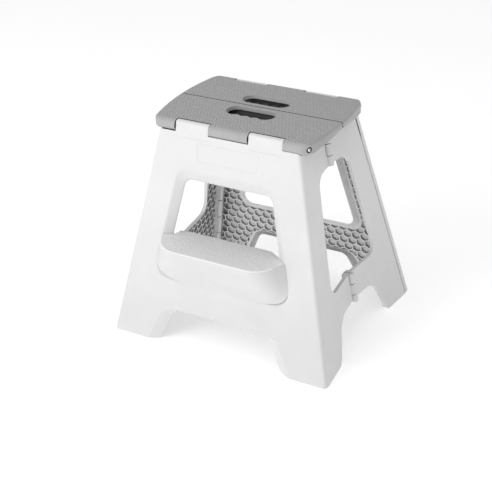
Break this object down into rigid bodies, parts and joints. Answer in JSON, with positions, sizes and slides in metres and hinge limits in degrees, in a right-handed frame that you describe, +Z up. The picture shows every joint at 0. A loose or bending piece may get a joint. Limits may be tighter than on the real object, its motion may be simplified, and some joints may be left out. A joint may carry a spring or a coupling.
{
  "type": "step stool",
  "caption": "White plastic folding step stool with a grey textured seat, hand slots, honeycomb ribbed legs and a lower front step, standing open.",
  "frame": {"origin": "on the floor under the middle of the stool's overall box", "axes": "+Z up, -Y towards the front, where the lower step is, +X towards the right-hand side seen from the front"},
  "size_m": [0.4148, 0.3592, 0.391],
  "materials": {
    "panel_white": "fine satin moulded white",
    "step_white": "white with a pebbled anti-slip tread",
    "seat_grey": "mid grey with fine diamond anti-slip texture",
    "rod_steel": "plain drawn steel"
  },
  "bodies": {
    "front_panel": {"front_leg_panel": "panel_white", "lower_step": "step_white", "front_right_corner_rod": "rod_steel", "front_left_corner_rod": "rod_steel", "front_seat_rod": "rod_steel"},
    "right_front": {"right_front_quarter": "panel_white", "right_upper_fold_rod": "rod_steel", "right_lower_fold_rod": "rod_steel"},
    "right_rear": {"right_rear_quarter": "panel_white"},
    "rear_panel": {"rear_leg_panel": "panel_white", "rear_right_corner_rod": "rod_steel", "rear_left_corner_rod": "rod_steel", "rear_seat_rod": "rod_steel"},
    "left_front": {"left_front_quarter": "panel_white", "left_upper_fold_rod": "rod_steel", "left_lower_fold_rod": "rod_steel"},
    "left_rear": {"left_rear_quarter": "panel_white"},
    "front_seat": {"front_seat_half": "seat_grey", "seat_centre_rod": "rod_steel"},
    "rear_seat": {"rear_seat_half": "seat_grey"}
  },
  "joints": [
    {"name": "right_side_fold", "type": "hinge", "parent": "right_front", "child": "right_rear", "pos_m": [0.1483, 0.00566, 0.22], "axis": [0.1876, 0, -0.9822], "range_deg": [0, 166.9]},
    {"name": "front_right_corner", "type": "hinge", "parent": "front_panel", "child": "right_front", "pos_m": [0.15488, -0.12185, 0.18], "axis": [-0.2024, 0.1775, 0.9631], "range_deg": [0, 85.5]},
    {"name": "rear_right_corner", "type": "hinge", "parent": "right_rear", "child": "rear_panel", "pos_m": [0.15488, 0.13317, 0.18], "axis": [-0.2024, -0.1775, 0.9631], "range_deg": [0, 85.5]},
    {"name": "front_left_corner", "type": "hinge", "parent": "front_panel", "child": "left_front", "pos_m": [-0.15488, -0.12185, 0.18], "axis": [-0.2024, -0.1775, -0.9631], "range_deg": [0, 85.5]},
    {"name": "rear_left_corner", "type": "hinge", "parent": "rear_panel", "child": "left_rear", "pos_m": [-0.15488, 0.13317, 0.18], "axis": [0.2024, -0.1775, 0.9631], "range_deg": [0, 85.5]},
    {"name": "front_seat_hinge", "type": "hinge", "parent": "front_panel", "child": "front_seat", "pos_m": [0, -0.09084, 0.381], "axis": [1, 0, 0], "range_deg": [0, 67.5]},
    {"name": "rear_seat_hinge", "type": "hinge", "parent": "rear_panel", "child": "rear_seat", "pos_m": [0, 0.10216, 0.381], "axis": [-1, 0, 0], "range_deg": [0, 67.5]}
  ],
  "couplings": [
    {"joint": "front_right_corner", "follows": "right_side_fold", "ratio": 0.51215},
    {"joint": "rear_right_corner", "follows": "right_side_fold", "ratio": 0.51215},
    {"joint": "front_left_corner", "follows": "right_side_fold", "ratio": 0.51215},
    {"joint": "rear_left_corner", "follows": "right_side_fold", "ratio": 0.51215},
    {"joint": "front_seat_hinge", "follows": "right_side_fold", "ratio": 0.40433},
    {"joint": "rear_seat_hinge", "follows": "right_side_fold", "ratio": 0.40433}
  ]
}
